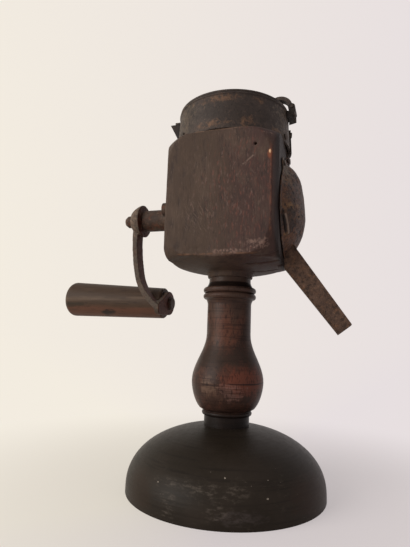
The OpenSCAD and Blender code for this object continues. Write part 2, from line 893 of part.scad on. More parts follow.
// The bar across the burr ring that carries the shaft's far end
module bearing_bridge() {
    color(iron)
        difference() {
            translate([ring_x, 0, shaft_z])
                plate_across(bridge_t)
                    intersection() {
                        circle(r = burr_out);
                        square([3 * burr_out, bridge_w], center = true);
                    }
            turned_on_shaft()
                translate([0, ring_x - past])
                    square([journal_r + run_gap, bridge_t + 2 * past]);
            bridge_screw_places()
                nail_hole(nail_len);
        }
}

// The bridge's screws
module bridge_screws() {
    color(bright_iron)
        bridge_screw_places()
            nail(nail_len);
}

// One cap of the cover, turned about an axis along X
module cover_cap(r, bulge) {
    ball_r = (r * r + bulge * bulge) / (2 * bulge);
    rotate([0, 90, 0])
        rotate_extrude($fn = 40)
            polygon(concat([[0, 0]],
                arc_points([0, bulge - ball_r], ball_r, asin((ball_r - bulge) / ball_r), 90, cap_steps)));
}

// The cover's dished body, grown or shrunk by a wall
module cover_body(wall) {
    hull() {
        translate([face_x, 0, shaft_z - cover_drop])
            cover_cap(cover_r - wall, cover_bulge - wall);
        translate([face_x, 0, shaft_z + swell_up])
            cover_cap(swell_r - wall, swell_bulge - wall);
    }
}

// Places of the cover's nails: one in the finial and one in each side lobe
module cover_nail_places() {
    for (spot = [[0, finial_up - finial_nail], [lobe_out, lobe_up], [-lobe_out, lobe_up]])
        translate([face_x + cover_t, spot[0], shaft_z + spot[1]])
            children();
}

// The cover's flat edge: a rim round the dish, the finial's leaf and a lobe at each shoulder
module cover_edge() {
    hull() {
        translate([0, -cover_drop])
            circle(r = cover_r + cover_rim);
        translate([0, swell_up])
            circle(r = swell_r + cover_rim);
    }
    for (side = [-1, 1]) {
        translate([side * lobe_out, lobe_up])
            circle(r = lobe_r);
        polygon([[0, finial_up], [side * finial_half * 0.6, finial_up - finial_half / 2],
            [side * finial_half, finial_up - 1.5 * finial_half],
            [side * finial_half * 1.6, finial_up - 2 * finial_half],
            [side * lobe_out, lobe_up + lobe_r * 0.8],
            [side * (lobe_out + lobe_r * 0.5), lobe_up - lobe_r * 0.8], [0, swell_up]]);
    }
}

// The dished iron cover over the works, with its mouth for the spout
module cover() {
    color(rust)
        difference() {
            union() {
                difference() {
                    cover_body(0);
                    translate([-cut, 0, 0])
                        cover_body(cover_t);
                }
                difference() {
                    translate([face_x, 0, shaft_z])
                        plate_across(cover_t)
                            cover_edge();
                    translate([-past, 0, 0])
                        cover_body(cover_t);
                }
            }
            spout_frame()
                linear_extrude(4 * spout_high, center = true)
                    translate([-spout_w / 2 - seat_gap, -spout_high])
                        square([spout_w + 2 * seat_gap, 2 * spout_high + seat_gap]);
            cover_nail_places()
                nail_hole(nail_len);
        }
}

// The cover's nails
module cover_nails() {
    color(bright_iron)
        cover_nail_places()
            nail(nail_len);
}

// The spout's own frame: its run is +Z, its floor is towards -Y
module spout_frame() {
    translate([face_x, 0, shaft_z - spout_drop])
        rotate([0, 90 + spout_slope, 0])
            rotate([0, 0, 90])
                translate([0, -spout_sink, 0])
                    children();
}

// The spout's section, filled, grown by a clearance and closed at a given height
module spout_shape(grow, high) {
    half = spout_w / 2 + grow;
    round_r = spout_round + grow;
    low = -grow;
    translate([-half, low + round_r])
        square([2 * half, high - low - round_r]);
    translate([-half + round_r, low])
        square([2 * (half - round_r), 2 * round_r]);
    for (side = [-1, 1])
        translate([side * (half - round_r), low + round_r])
            circle(r = round_r);
}

// The sheet-iron spout, an open trough that starts behind the cover
module spout() {
    back = 20;
    color(rust)
        difference() {
            spout_frame()
                difference() {
                    translate([0, 0, -back])
                        linear_extrude(spout_len + back)
                            difference() {
                                spout_shape(0, spout_high);
                                spout_shape(-spout_t, 2 * spout_high);
                            }
                    rotate([90, 0, 90])
                        linear_extrude(2 * spout_w, center = true)
                            polygon([[spout_high, 0], [2 * spout_high, -past],
                                [2 * spout_high, spout_len + past], [spout_low, spout_len + past],
                                [spout_low, spout_len]]);
                }
            translate([face_x - 2 * spout_len, -spout_w, 0])
                cube([2 * spout_len, 2 * spout_w, rim_z]);
        }
}

// The shaft with its journal, its square tang and its riveted end
module shaft() {
    head_x = hub_x - hub_len;
    color(iron) {
        turned_on_shaft()
            polygon([[0, hub_x], [shaft_r, hub_x], [shaft_r, cone_end], [journal_r, cone_end],
                [journal_r, face_x + cover_t], [0, face_x + cover_t]]);
        translate([head_x, -tang_side / 2, shaft_z - tang_side / 2])
            cube([hub_len + past, tang_side, tang_side]);
        turned_on_shaft()
            polygon([[0, head_x], [tang_side * 0.74, head_x], [tang_side * 0.74, head_x - head_len * 0.6],
                [tang_side * 0.5, head_x - head_len], [0, head_x - head_len]]);
    }
}

// A band of strap along an arc, in an outline of [x, z]
module arc_band(middle, r, from, to) {
    reach = r + arm_t;
    translate(middle)
        intersection() {
            difference() {
                circle(r = r + arm_t / 2, $fn = 180);
                circle(r = r - arm_t / 2, $fn = 180);
            }
            polygon([[0, 0], reach * [cos(from), sin(from)] / cos((to - from) / 2),
                reach * [cos(to), sin(to)] / cos((to - from) / 2)]);
        }
}

// The forged crank arm: hub, bowed strap and the eye that carries the grip
module crank_arm() {
    lap = 0.2;
    color(iron)
        translate([0, 0, shaft_z])
            difference() {
                union() {
                    rotate([0, 90, 0])
                        rotate_extrude()
                            polygon(concat([[0, hub_x]],
                                [for (i = [0:curve_steps])
                                    let (t = i / curve_steps, full = pow(1 - pow(t, hub_power), 1 / hub_power))
                                    [hub_end_r + (hub_r - hub_end_r) * full,
                                        hub_x - past - (hub_len - past) * t]],
                                [[0, hub_x - hub_len]]));
                    bar_along(arm_w) {
                        translate([arm_x - arm_t / 2, -arm_straight])
                            square([arm_t, arm_straight]);
                        arc_band(bend_high, bend_high_r, 180 - lap, 180 + mid_turn + lap);
                        arc_band(bend_low, bend_low_r, 180 + mid_turn - lap, 180 + low_turn + lap);
                        translate(low_point)
                            rotate(low_turn)
                                translate([-arm_t / 2, -arm_end])
                                    square([arm_t, arm_end + arm_t / 4]);
                    }
                    translate([eye_x - eye_t / 2, 0, 0])
                        plate_across(eye_t) {
                            translate([grip_back, eye_z])
                                circle(r = eye_r);
                            translate([0, tip_point[1]])
                                circle(r = arm_w / 2);
                            polygon([[0, tip_point[1] - arm_w / 2], [grip_back, eye_z - eye_r],
                                [grip_back - eye_r * 0.7, eye_z + eye_r * 0.7],
                                [0, tip_point[1] + arm_w / 2]]);
                        }
                }
                translate([hub_x - hub_len - past, -tang_side / 2 - seat_gap, -tang_side / 2 - seat_gap])
                    cube([hub_len + 2 * past, tang_side + 2 * seat_gap, tang_side + 2 * seat_gap]);
                grip_frame()
                    cylinder(r = spindle_r + seat_gap, h = 4 * eye_t, center = true);
            }
}

// The grip's own frame, from the eye's middle, with its far end towards +Z
module grip_frame() {
    translate([eye_x, grip_back, eye_z])
        rotate([0, -90 + grip_tilt, 0])
            children();
}

// The spindle through the grip, riveted over the eye and over the washer
module grip_spindle() {
    inner = -eye_t / 2 - side_gap;
    outer = grip_far - washer_sink + head_gap + washer_t + head_gap;
    color(bright_iron)
        translate([0, 0, shaft_z])
            grip_frame()
                rotate_extrude()
                    polygon([[0, inner - spindle_head], [spindle_r + spindle_head / 2, inner - spindle_head],
                        [spindle_r + spindle_head, inner], [spindle_r, inner], [spindle_r, outer],
                        [spindle_r + washer_ring / 2, outer],
                        [spindle_r + washer_ring / 3, grip_far - side_gap], [0, grip_far - side_gap]]);
}

// The washer let into the grip's far end
module grip_washer() {
    color(iron)
        translate([0, 0, shaft_z])
            grip_frame()
                rotate_extrude()
                    translate([spindle_r + seat_gap, grip_far - washer_sink + head_gap])
                        square([washer_ring - seat_gap, washer_t]);
}

// The turned wooden grip
module grip() {
    edge = 0.8;
    color(red_wood)
        translate([0, 0, shaft_z])
            grip_frame()
                difference() {
                    rotate_extrude()
                        polygon(concat(
                            [[0, grip_near], [grip_r - edge, grip_near], [grip_r, grip_near + edge]],
                            arc_points([grip_end_r - grip_round, grip_far - grip_round], grip_round, 0, 90,
                                curve_steps),
                            [[0, grip_far]]));
                    cylinder(r = spindle_r + run_gap, h = 2 * grip_far);
                    translate([0, 0, grip_far - washer_sink])
                        cylinder(r = washer_r + side_gap, h = 2 * washer_sink);
                }
}

foot();
stem();
block();
hopper();
hopper_nails();
hopper_strap();
strap_nails();
hinge_leaf();
hinge_rivets();
hinge_pin();
lid_catch();
catch_rivet();
bearing_plate();
bearing_nails();
burr_ring();
bearing_bridge();
bridge_screws();
cover();
cover_nails();
spout();
shaft();
grinding_cone();
crank_arm();
grip_spindle();
grip_washer();
grip();
lid();
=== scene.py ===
"""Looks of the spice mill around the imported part: materials, worn surfaces, floor, light and camera.

Materials and worn surfaces are written in millimetres, the stage in metres.
"""

import json
import math
from functools import partial

import bpy
from mathutils import Matrix, Vector, noise


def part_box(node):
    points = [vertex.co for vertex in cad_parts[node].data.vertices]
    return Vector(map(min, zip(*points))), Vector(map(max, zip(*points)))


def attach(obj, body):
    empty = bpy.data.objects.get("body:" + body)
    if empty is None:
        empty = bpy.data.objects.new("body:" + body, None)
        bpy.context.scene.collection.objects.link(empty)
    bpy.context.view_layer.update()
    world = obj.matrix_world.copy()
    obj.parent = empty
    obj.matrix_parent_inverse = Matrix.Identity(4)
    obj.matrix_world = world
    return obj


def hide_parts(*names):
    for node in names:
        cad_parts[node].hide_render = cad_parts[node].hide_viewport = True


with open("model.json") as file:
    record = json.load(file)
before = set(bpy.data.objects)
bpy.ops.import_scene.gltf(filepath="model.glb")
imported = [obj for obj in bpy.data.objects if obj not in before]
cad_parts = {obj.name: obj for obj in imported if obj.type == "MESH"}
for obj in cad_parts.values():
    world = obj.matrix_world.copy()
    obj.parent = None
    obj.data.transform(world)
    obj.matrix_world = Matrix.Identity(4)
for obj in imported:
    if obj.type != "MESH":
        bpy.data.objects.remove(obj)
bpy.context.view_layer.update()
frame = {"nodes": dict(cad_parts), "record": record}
nodes = frame["nodes"]
bodies = {name: body for body, names in frame["record"]["behaviour"]["bodies"].items() for name in names}
MM = 0.001


def box_mm(name):
    """Lowest and highest corner of a node, in millimetres."""
    low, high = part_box(name)
    return low / MM, high / MM


block_low, block_high = box_mm("block")
spout_low, spout_high = box_mm("spout")
grip_low, grip_high = box_mm("grip")
grip_middle = (grip_low.z + grip_high.z) / 2
foot_top = box_mm("foot")[1].z
stem_top = block_low.z
hopper_seat = box_mm("hopper")[0].z
# The torn slit in the cover, from its upper to its lower end
SLIT = (Vector((32.6, -23.2, 142.6)), Vector((33.7, -18.2, 133.8)))


# Nodes and colours

def srgb(red, green, blue):
    """A colour given as it looks on the screen, 0 to 255, as Blender's linear colour."""
    parts = [v / 255 for v in (red, green, blue)]
    return tuple(v / 12.92 if v <= 0.04045 else ((v + 0.055) / 1.055) ** 2.4 for v in parts) + (1.0,)


def add_node(tree, kind, inputs, **settings):
    """A new node in a tree. Inputs that are sockets are linked, and others are set as values."""
    node = tree.nodes.new(kind)
    for key, value in settings.items():
        setattr(node, key, value)
    for key, value in inputs.items():
        if isinstance(value, bpy.types.NodeSocket):
            tree.links.new(value, node.inputs[key])
        else:
            node.inputs[key].default_value = value
    return node


def mix_colours(tree, amount, under, over):
    """One colour laid over another. The node's colour sockets share their names, so they go by number."""
    return add_node(tree, "ShaderNodeMix", {0: amount, 6: under, 7: over}, data_type="RGBA").outputs[2]


class Paint:
    """A material in the making, in millimetres. Most methods return the socket that their nodes end in."""

    def __init__(self, name, colour):
        self.material = bpy.data.materials.new(name)
        self.material.use_nodes = True
        self.tree = self.material.node_tree
        self.shader = self.tree.nodes["Principled BSDF"]
        coords = self.add("ShaderNodeTexCoord", {}).outputs
        self.facing = coords["Normal"]
        self.place = self.vector("MULTIPLY", coords["Object"], [1 / MM] * 3)
        self.x, self.y, self.z = self.add("ShaderNodeSeparateXYZ", {"Vector": self.place}).outputs
        self.colour = colour
        self.normal = None

    def add(self, kind, inputs, **settings):
        """A new node in this material."""
        return add_node(self.tree, kind, inputs, **settings)

    def math(self, operation, first, second=0.0):
        """A sum on numbers."""
        return self.add("ShaderNodeMath", {0: first, 1: second}, operation=operation).outputs[0]

    def vector(self, operation, first, second=(0, 0, 0)):
        """A sum on vectors. A length, a distance and a dot product end in a number."""
        outputs = self.add("ShaderNodeVectorMath", {0: first, 1: second}, operation=operation).outputs
        return outputs["Value" if operation in ("LENGTH", "DISTANCE", "DOT_PRODUCT") else "Vector"]

    def both(self, *masks):
        """The product of masks and amounts."""
        out = masks[0]
        for mask in masks[1:]:
            out = self.math("MULTIPLY", out, mask)
        return out

    def vary(self, mask, least, swing):
        """A value that goes from least where the mask is 0 to least + swing where it is 1."""
        return self.math("ADD", self.both(mask, swing), least)

    def noise(self, size, stretch=(1, 1, 1), detail=5.0, rough=0.6, offset=(0, 0, 0), lean=0.0):
        """Noise with marks about size across, longer where stretch is over 1, and leant about Y."""
        inputs = {"Vector": self.place, "Scale": stretch, "Location": offset, "Rotation": (0, lean, 0)}
        place = self.add("ShaderNodeMapping", inputs, vector_type="TEXTURE").outputs[0]
        inputs = {"Vector": place, "Scale": 1 / size, "Detail": detail, "Roughness": rough}
        return self.add("ShaderNodeTexNoise", inputs).outputs[0]

    def step(self, value, low, high):
        """0 at low and 1 at high, with a soft rise between them."""
        inputs = {"Value": value, "From Min": low, "From Max": high}
        return self.add("ShaderNodeMapRange", inputs, interpolation_type="SMOOTHSTEP").outputs[0]

    def band(self, value, middle, half, soft):
        """1 within half of the middle, falling to 0 over soft."""
        away = self.math("ABSOLUTE", self.math("SUBTRACT", value, middle))
        return self.step(away, half + soft, half)

    def blotch(self, middle, reach, ragged, fray=1.0):
        """1 inside a stretched ball, over an edge from 0.6 to 1.4 of its reach that a noise frays."""
        from_middle = self.vector("SUBTRACT", self.place, middle)
        away = self.vector("LENGTH", self.vector("DIVIDE", from_middle, reach))
        frayed = self.math("ADD", away, self.both(self.math("SUBTRACT", ragged, 0.5), 4 * fray))
        return self.step(frayed, 1.4, 0.6)

    def line(self, start, end, half):
        """1 along a straight line, falling to 0 at half a width."""
        along = Vector(end) - Vector(start)
        away = self.vector("SUBTRACT", self.place, start)
        share = self.vector("DOT_PRODUCT", away, along / along.length_squared)
        nearest = self.vector("MULTIPLY", along, self.add("ShaderNodeClamp", {0: share}).outputs[0])
        return self.step(self.vector("DISTANCE", away, nearest), half, 0.4 * half)

    def tint(self, colour, amount, *masks):
        """Lays a colour over what is there, by an amount and masks."""
        self.colour = mix_colours(self.tree, self.both(*masks, amount), self.colour, colour)

    def bump(self, height, distance, strength):
        """Lays a relief of a noise, distance high, over what is there."""
        inputs = {"Height": height, "Distance": distance * MM, "Strength": strength}
        if self.normal is not None:
            inputs["Normal"] = self.normal
        self.normal = self.add("ShaderNodeBump", inputs).outputs[0]

    def finish(self, roughness, specular, metallic=0.0):
        """The finished material."""
        self.tree.links.new(self.colour, self.shader.inputs["Base Color"])
        self.tree.links.new(roughness, self.shader.inputs["Roughness"])
        self.tree.links.new(self.normal, self.shader.inputs["Normal"])
        self.shader.inputs["Metallic"].default_value = metallic
        self.shader.inputs["Specular IOR Level"].default_value = specular
        return self.material


# Wood

def block_wood():
    """Old stained wood: brown, redder towards the cover, with fine upright flecks, rubbed edges and
    painted shade on the face under the cover.
    """
    wood = Paint("block_wood", srgb(66, 52, 43))
    cloud = wood.noise(16, stretch=(1, 1, 1.7), detail=4)
    mottle = wood.noise(4.5, stretch=(1, 1, 2.5), rough=0.65)
    grain = wood.noise(0.9, stretch=(1, 1, 9), rough=0.7)
    fleck = wood.noise(1.1, stretch=(1, 1, 3.2), detail=3, offset=(700, 400, 100))
    pale_fleck = wood.noise(1.2, stretch=(1, 1, 2.6), detail=3, offset=(100, 600, 500))
    speck = wood.noise(1.3, detail=4, rough=0.65, offset=(900, 200, 300))
    scratch = wood.noise(0.7, stretch=(1, 1, 5), detail=3, offset=(200, 700, 900))
    hatch = wood.noise(0.6, stretch=(1, 1, 6), detail=3, offset=(600, 100, 300), lean=-0.5)
    ragged = wood.noise(3, stretch=(1, 1, 2), detail=6, rough=0.75, offset=(500, 300, 800))

    # Broad tones, redder towards the cover
    redder = wood.step(wood.math("ADD", wood.x, wood.both(cloud, 50)), 18, 42)
    wood.tint(srgb(60, 42, 39), 0.85, redder)
    wood.tint(srgb(78, 63, 53), 0.6, wood.step(cloud, 0.46, 0.66))
    wood.tint(srgb(46, 35, 31), 0.65, wood.step(mottle, 0.48, 0.34))
    wood.tint(srgb(86, 69, 59), 0.5, wood.step(mottle, 0.55, 0.72))
    wood.tint(srgb(38, 28, 26), 0.55, wood.step(grain, 0.45, 0.32))

    # Flecks, scratches and slanting tool marks
    red_area = wood.blotch((12, -32, 153), (17, 60, 28), ragged)
    wood.tint(srgb(100, 60, 50), 0.6, wood.step(fleck, 0.54, 0.68), red_area)
    pale_area = wood.blotch((6, -32, 152), (20, 60, 28), ragged)
    wood.tint(srgb(104, 82, 75), 0.5, wood.step(pale_fleck, 0.56, 0.7), pale_area)
    wood.tint(srgb(98, 81, 70), 0.55, wood.step(scratch, 0.57, 0.7), wood.step(cloud, 0.42, 0.58))
    tool_area = wood.blotch((-10, -32, 139), (7, 9, 8), ragged)
    wood.tint(srgb(108, 90, 78), 0.5, wood.step(hatch, 0.54, 0.68), tool_area)

    # Painted shade on the face under the cover, and the red arris in front of it
    cover_face = block_high.x
    front_face = block_low.y
    # Painted shade darkens the face under the cover
    wood.tint(srgb(29, 24, 23), 0.85, wood.step(wood.x, cover_face - 2.7, cover_face - 0.8))
    front = wood.step(wood.y, front_face + 2.2, front_face + 1.0)
    arris = wood.both(wood.band(wood.x, cover_face - 3.4, 0.2, 0.6), front)
    upper = wood.band(wood.z, 159, 10, 12)
    wood.tint(srgb(106, 67, 54), 0.8, arris, upper, wood.step(ragged, 0.36, 0.54))
    lower = wood.band(wood.z, 134, 4, 8)
    wood.tint(srgb(104, 68, 51), 0.7, arris, lower, wood.step(ragged, 0.46, 0.58))
    wood.tint(srgb(124, 68, 44), 0.6, wood.blotch((27, -32.2, 171), (1.1, 3, 2.6), ragged, 0.5))
    wood.tint(srgb(214, 172, 134), 1.0, wood.blotch((27.1, -32.2, 172), (0.5, 3, 1.0), ragged, 0.3))

    # Pale chips, one long scratch, and the rubbed edges below and under the hopper
    chips = (((24.4, -32, 182.4), (1, 2, 0.6)), ((27.4, -29.3, 182.9), (1, 2, 0.6)),
             ((18.3, -32, 151.4), (0.3, 2, 0.6)), ((8, -32, 121.4), (8, 2, 1.0)),
             ((21, -32, 124.5), (6, 3, 2.6)))
    for middle, reach in chips:
        wood.tint(srgb(120, 96, 86), 0.75, wood.blotch(middle, reach, ragged), wood.step(speck, 0.42, 0.6))
    long_scratch = wood.line((13.4, -32, 166.3), (18.8, -32, 170.7), half=0.6)
    wood.tint(srgb(112, 94, 84), 0.6, long_scratch, wood.step(speck, 0.36, 0.52))
    cushion_top = block_low.z + 8.47
    lower_edge = wood.both(front, wood.band(wood.z, cushion_top, 0.2, 0.5))
    wood.tint(srgb(100, 71, 54), 0.7, lower_edge, wood.step(ragged, 0.38, 0.56))
    upper_edge = wood.band(wood.z, hopper_seat - 0.23, 0.3, 0.5)
    wood.tint(srgb(104, 82, 68), 0.6, upper_edge, wood.step(ragged, 0.4, 0.56))

    wood.bump(mottle, distance=0.6, strength=0.35)
    wood.bump(grain, distance=0.3, strength=0.5)
    return wood.finish(wood.vary(mottle, 0.5, 0.25), specular=0.15)


def stem_wood():
    """Polished reddish wood with lathe rings, painted shade in its groove and where it meets the foot,
    painted highlights on its bulb, and rubbed red on its swells.
    """
    wood = Paint("stem_wood", srgb(54, 38, 32))
    cloud = wood.noise(9, stretch=(1, 1, 1.3))
    red_zone = wood.noise(8, stretch=(1, 1, 1.6), detail=6, rough=0.7, offset=(130, 420, 330))
    ring = wood.noise(1.0, stretch=(20, 20, 1), rough=0.65)
    dash = wood.noise(0.7, stretch=(1, 1, 5), detail=4)
    ragged = wood.noise(4, stretch=(1, 1, 1.4), detail=6, rough=0.75, offset=(300, 800, 500))

    # Broad tones, where hands have rubbed it red, and painted pale highlights low on the bulb
    wood.tint(srgb(78, 56, 46), 0.7, wood.step(cloud, 0.44, 0.64))
    wood.tint(srgb(86, 54, 44), 0.6, wood.step(red_zone, 0.48, 0.66))
    wood.tint(srgb(102, 56, 43), 0.75, wood.blotch((14, -13, 57.5), (12, 12, 7), ragged, 0.8))
    wood.tint(srgb(98, 60, 46), 0.5, wood.blotch((1.5, -12, 84), (4.5, 8, 11), ragged, 1.3))
    wood.tint(srgb(86, 59, 46), 0.4, wood.blotch((-4, -11.6, 88), (2.5, 6, 12), ragged, 1.2))
    # Painted highlights: two pale patches low on the bulb, broken up by the rings
    ringed = wood.step(ring, 0.36, 0.6)
    wood.tint(srgb(102, 80, 67), 0.7, wood.blotch((-5, -18.5, 54), (4, 5, 4), ragged, 1.3), ringed)
    wood.tint(srgb(116, 86, 78), 0.7, wood.blotch((7, -18.5, 51.5), (6, 6, 3.5), ragged, 1.3), ringed)

    # Dull beads and neck, then dark rings and pores
    beads = wood.band(wood.z, stem_top - 8.83, 3, 0.6)
    wood.tint(srgb(66, 51, 44), 0.6, beads, wood.step(cloud, 0.3, 0.5))
    neck = wood.band(wood.z, stem_top - 16.33, 3, 5)
    wood.tint(srgb(66, 51, 44), 0.5, neck, wood.step(cloud, 0.36, 0.56))
    wood.tint(srgb(32, 22, 19), 0.5, wood.step(ring, 0.49, 0.36))
    wood.tint(srgb(30, 20, 18), 0.65, wood.step(dash, 0.46, 0.35))

    # The bulb's shoulder, painted shadow where the stem meets the foot, the top in the block's brown with
    # painted shade in the groove under it, and a crack part of the way round the bulb
    shoulder = wood.band(wood.z, foot_top + 36.57, 2, 6)
    wood.tint(srgb(44, 35, 30), 0.7, shoulder, wood.step(cloud, 0.34, 0.54))
    # Painted shadow darkens the stem's lower end where it meets the foot
    wood.tint(srgb(18, 14, 12), 0.9, wood.step(wood.z, foot_top + 10.07, foot_top + 6.07))
    wood.tint(srgb(58, 44, 37), 0.9, wood.step(wood.z, stem_top - 2.83, stem_top - 2.23))
    # Painted shade in the groove below the stem's top
    wood.tint(srgb(18, 13, 11), 0.9, wood.band(wood.z, stem_top - 4.03, 1.2, 0.5))
    crack = wood.band(wood.z, foot_top + 23.07, 0.14, 0.2)
    wood.tint(srgb(16, 12, 11), 0.85, crack, wood.step(wood.x, 3, 7))

    wood.bump(ring, distance=0.3, strength=0.3)
    wood.bump(dash, distance=0.12, strength=0.4)
    return wood.finish(wood.vary(red_zone, 0.22, 0.3), specular=0.1)


def foot_wood():
    """Nearly black turned wood with a satin skin, faint rings, pale scuffs, a painted sheen low in front
    and small nicks.
    """
    wood = Paint("foot_wood", srgb(36, 30, 24))
    cloud = wood.noise(20, stretch=(1.6, 1.6, 1), detail=4)
    ring = wood.noise(1.6, stretch=(25, 25, 1), rough=0.65)
    scuff = wood.noise(1.3, stretch=(3, 3, 1), detail=6, rough=0.75, offset=(200, 600, 100))
    patch = wood.noise(10, stretch=(1.8, 1.8, 1), detail=6, rough=0.7, offset=(800, 150, 400))
    nick = wood.noise(1.8, detail=3, rough=0.5, offset=(400, 900, 300))

    # Broad tones, browner in two places near the edge
    wood.tint(srgb(46, 39, 33), 0.8, wood.step(cloud, 0.42, 0.66))
    wood.tint(srgb(24, 19, 16), 0.5, wood.step(ring, 0.48, 0.34))
    wood.tint(srgb(50, 35, 28), 0.45, wood.blotch((46, -18, 10), (10, 18, 9), patch, 0.8))
    wood.tint(srgb(46, 34, 26), 0.45, wood.blotch((-31, -41, 8), (10, 10, 7), patch, 0.8))

    # Scuffs all round below, a painted sheen low in front, and stronger scuffs in front
    low_down = wood.step(wood.z, 26, 15)
    wood.tint(srgb(76, 68, 60), 0.5, wood.step(scuff, 0.5, 0.7), wood.step(patch, 0.46, 0.62), low_down)
    # Painted sheen: a soft mauve-grey patch low on the front right, broken up by the scuffs
    sheen_spot = wood.blotch((19, -48, 5), (8, 6, 3), patch, 1.3)
    wood.tint(srgb(74, 66, 64), 0.45, sheen_spot, wood.step(scuff, 0.34, 0.6))
    scuffs = (((4, -49, 14), (8, 5, 3)), ((17, -46, 14), (5, 5, 3)), ((9, -51, 7), (4, 4, 3)),
              ((-13, -50, 4), (3, 4, 2.5)), ((-12, -47, 15), (9, 5, 1.5)), ((-13, -49, 10), (4, 4, 2)))
    for middle, reach in scuffs:
        scuffed = wood.blotch(middle, reach, patch, 1.2)
        wood.tint(srgb(90, 81, 73), 0.55, wood.step(scuff, 0.46, 0.7), scuffed)

    # Small pale nicks
    for middle in ((28.6, -36.4, 18.1), (29.4, -40.8, 11.9), (11.3, -44.2, 19), (-19.2, -45.5, 13.9)):
        wood.tint(srgb(168, 156, 142), 0.75, wood.blotch(middle, (0.35, 0.35, 0.25), scuff, 1.6))
    wood.tint(srgb(120, 110, 100), 0.7, wood.step(nick, 0.74, 0.79))

    wood.bump(ring, distance=0.2, strength=0.3)
    wood.bump(scuff, distance=0.2, strength=0.25)
    return wood.finish(wood.vary(scuff, 0.28, 0.3), specular=0.09)


def grip_wood():
    """Brown turned wood with its grain along the grip, redder underneath, with dark burnt patches."""
    wood = Paint("grip_wood", srgb(60, 45, 34))
    cloud = wood.noise(14, stretch=(3, 1, 1))
    streak = wood.noise(2.8, stretch=(16, 1, 1), detail=4, offset=(200, 500, 900))
    grain = wood.noise(0.8, stretch=(10, 1, 1), rough=0.65)
    ragged = wood.noise(4, stretch=(2, 1, 1), rough=0.7, offset=(930, 200, 500))

    # Broad tones, with a pale line along the middle and red wood under it
    wood.tint(srgb(72, 55, 43), 0.7, wood.step(cloud, 0.42, 0.66))
    pale_line = wood.band(wood.z, grip_middle, 0.4, 1.6)
    wood.tint(srgb(94, 77, 63), 0.6, pale_line, wood.step(streak, 0.42, 0.6))
    wood.tint(srgb(84, 67, 55), 0.5, wood.step(streak, 0.56, 0.7))
    uneven = wood.math("ADD", wood.z, wood.both(wood.math("SUBTRACT", streak, 0.5), 6))
    underneath = wood.step(uneven, grip_middle - 4, grip_middle - 6.6)
    wood.tint(srgb(92, 60, 47), 0.75, underneath, wood.step(cloud, 0.34, 0.54))

    # Grain and burnt patches
    wood.tint(srgb(36, 27, 22), 0.6, wood.step(grain, 0.45, 0.32))
    wood.tint(srgb(28, 25, 23), 0.85, wood.blotch((-81.5, 7.4, 92.4), (4, 4, 2.2), ragged))
    wood.tint(srgb(38, 34, 27), 0.6, wood.blotch((-104, 4.8, 97.2), (9, 5, 1.4), ragged, 0.8))
    wood.tint(srgb(34, 29, 25), 0.6, wood.step(ragged, 0.64, 0.74))

    wood.bump(grain, distance=0.3, strength=0.35)
    return wood.finish(wood.vary(cloud, 0.4, 0.25), specular=0.15)


# Iron

def old_iron(name, dark, light, rust, rust_from, rough, pits, mottle=0.3, sides=(), marks=(), lines=()):
    """Blackened iron with rust in patches and pits of a depth.

    A side has a colour, a strength and the way that it faces. A mark has a colour, a strength, a middle
    and a reach. A line has a colour, a start, an end and half a width.
    """
    iron = Paint(name, dark)
    cloud = iron.noise(12)
    patch = iron.noise(4, detail=8, rough=0.75, offset=(630, 220, 410))
    grit = iron.noise(1.0, rough=0.7)
    crust = iron.noise(2.2, detail=6, rough=0.7, offset=(170, 550, 720))
    iron.tint(light, 0.85, iron.step(cloud, 0.42, 0.66))
    iron.tint(rust, 0.8, iron.step(patch, rust_from, rust_from + 0.12))
    for colour, strength, way in sides:
        iron.tint(colour, strength, iron.step(iron.vector("DOT_PRODUCT", iron.facing, way), 0.4, 0.7))
    for colour, strength, middle, reach in marks:
        iron.tint(colour, strength, iron.blotch(middle, reach, patch, 1.3), iron.step(crust, 0.38, 0.62))
    iron.tint(srgb(26, 19, 16), mottle, iron.step(crust, 0.49, 0.4))
    iron.tint(srgb(120, 92, 74), 0.6 * mottle, iron.step(crust, 0.56, 0.66))
    iron.tint(srgb(24, 18, 15), 0.6, iron.step(grit, 0.46, 0.34))
    iron.tint(srgb(112, 82, 60), 0.45, iron.step(grit, 0.6, 0.72), iron.step(patch, 0.5, 0.62))
    for colour, start, end, half in lines:
        iron.tint(colour, 0.9, iron.line(start, end, half))
    iron.bump(cloud, distance=1.0, strength=0.3)
    iron.bump(crust, distance=2 * pits, strength=0.3)
    iron.bump(grit, distance=pits, strength=0.6)
    return iron.finish(iron.vary(patch, rough, 0.4), specular=0.2, metallic=0.1)


